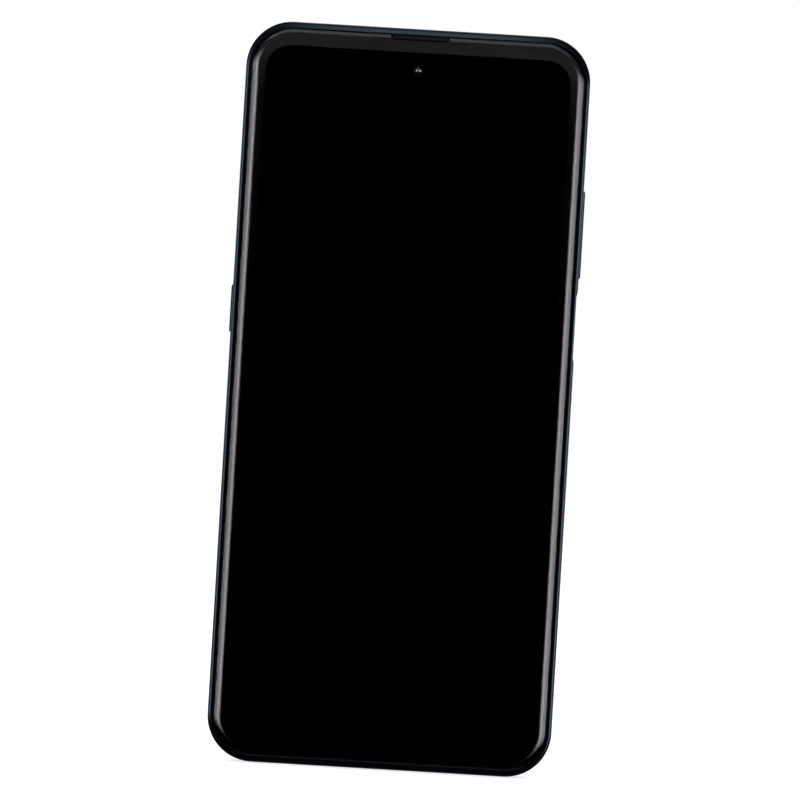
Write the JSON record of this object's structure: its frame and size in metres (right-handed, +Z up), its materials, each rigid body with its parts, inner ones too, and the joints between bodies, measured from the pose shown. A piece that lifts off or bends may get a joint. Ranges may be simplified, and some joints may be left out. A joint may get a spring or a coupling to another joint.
{
  "type": "smartphone",
  "caption": "Slim bar smartphone with a curved-edge glass front, a moulded plastic frame and cover, side keys, a card tray and a round rear camera housing.",
  "frame": {"origin": "middle of the bottom edge, half way through the thickness of the body", "axes": "+Z up towards the earpiece, +X to the right as seen from the screen, the screen faces -Y"},
  "size_m": [0.0806, 0.0106, 0.1714],
  "materials": {
    "cover_glass": "polished",
    "black_print": "black print",
    "adhesive": "foam adhesive",
    "display_cell": "dark display cell",
    "light_unit": "white light guide and films",
    "flex": "amber flexible circuit",
    "mesh_steel": "dark woven steel",
    "capsule_steel": "stamped steel",
    "lens_barrel": "matte black",
    "lens_glass": "coated lens",
    "sensor": "black epoxy",
    "frame_navy": "satin navy polycarbonate",
    "cast_plate": "cast alloy",
    "screw_steel": "machined",
    "key_navy": "satin navy",
    "sensor_glass": "hard coating",
    "dome_steel": "spring steel",
    "tray_plastic": "satin navy",
    "silicone": "soft silicone",
    "cover_navy": "satin navy polycarbonate",
    "ring_metal": "anodised",
    "window_glass": "polished",
    "camera_housing": "die-cast",
    "flash_plastic": "frosted lens",
    "flash_chip": "phosphor",
    "board": "circuit board",
    "can_steel": "tinned steel",
    "plug": "moulded plug",
    "inner_cover": "moulded, black",
    "antenna": "ferrite sheet",
    "cell": "wrapped pouch cell",
    "tape": "stretch tape",
    "cable_jacket": "jacketed lead",
    "graphite": "graphite",
    "socket_steel": "drawn steel",
    "contact_plastic": "moulded",
    "jack_plastic": "moulded",
    "speaker_case": "moulded",
    "speaker_unit": "stamped",
    "motor_steel": "drawn steel",
    "rotor_metal": "sintered weight"
  },
  "bodies": {
    "housing": {"front_glass": "cover_glass", "border_print": "black_print", "display_gasket": "adhesive", "lcd_panel": "display_cell", "backlight_unit": "light_unit", "display_flex": "flex", "earpiece_mesh": "mesh_steel", "earpiece_receiver": "capsule_steel", "front_camera_module": "lens_barrel", "front_camera_lens": "lens_glass", "proximity_sensor": "sensor", "side_frame": "frame_navy", "mid_plate": "cast_plate", "cover_screws": "screw_steel", "volume_key_domes": "dome_steel", "power_key_dome": "dome_steel", "assistant_key_dome": "dome_steel", "right_key_flex": "flex", "left_key_flex": "flex", "sim_reader": "capsule_steel", "rear_cover": "cover_navy", "rear_cover_adhesive": "adhesive", "camera_ring": "ring_metal", "camera_window": "window_glass", "main_camera_module": "camera_housing", "wide_camera_module": "camera_housing", "macro_camera_module": "camera_housing", "depth_camera_module": "camera_housing", "flash_led": "flash_chip", "flash_lens": "flash_plastic", "main_board": "board", "shield_cans": "can_steel", "board_connectors": "plug", "top_microphone": "can_steel", "upper_cover": "inner_cover", "nfc_antenna": "antenna", "battery": "cell", "battery_tape": "tape", "battery_flex": "flex", "main_flex": "flex", "rf_coax_cable": "cable_jacket", "graphite_sheet": "graphite", "sub_board": "board", "usb_c_shell": "socket_steel", "usb_c_tongue": "contact_plastic", "headphone_jack": "jack_plastic", "bottom_microphone": "can_steel", "speaker_box": "speaker_case", "loudspeaker_driver": "speaker_unit", "speaker_mesh": "mesh_steel", "vibration_motor_can": "motor_steel"},
    "volume_rocker": {"volume_rocker": "key_navy"},
    "power_key": {"power_key": "key_navy", "fingerprint_sensor": "sensor_glass"},
    "assistant_key": {"assistant_key": "key_navy"},
    "sim_tray": {"sim_tray": "tray_plastic", "sim_tray_gasket": "silicone"},
    "vibration_rotor": {"vibration_rotor": "rotor_metal"},
    "camera_lens": {"main_camera_lens": "lens_barrel"}
  },
  "joints": [
    {"name": "volume_rocker_tilt", "type": "hinge", "parent": "housing", "child": "volume_rocker", "pos_m": [0.03885, 0.0004, 0.1262], "axis": [0, 1, 0], "range_deg": [-1.4, 1.4], "stiffness_Nm_per_rad": 0.4, "deforming": ["volume_key_domes"]},
    {"name": "power_key_press", "type": "slide", "parent": "housing", "child": "power_key", "axis": [-1, 0, 0], "range_m": [0, 0.00025], "stiffness_N_per_m": 5000, "deforming": ["power_key_dome"]},
    {"name": "assistant_key_press", "type": "slide", "parent": "housing", "child": "assistant_key", "axis": [1, 0, 0], "range_m": [0, 0.00025], "stiffness_N_per_m": 5000, "deforming": ["assistant_key_dome"]},
    {"name": "sim_tray_slide", "type": "slide", "parent": "housing", "child": "sim_tray", "axis": [-1, 0, 0], "range_m": [0, 0.027]},
    {"name": "motor_spin", "type": "hinge", "parent": "housing", "child": "vibration_rotor", "pos_m": [-0.01, 0.00095, 0.0262], "axis": [1, 0, 0], "continuous": true},
    {"name": "lens_focus", "type": "slide", "parent": "housing", "child": "camera_lens", "axis": [0, 1, 0], "range_m": [0, 0.0003], "stiffness_N_per_m": 60}
  ]
}
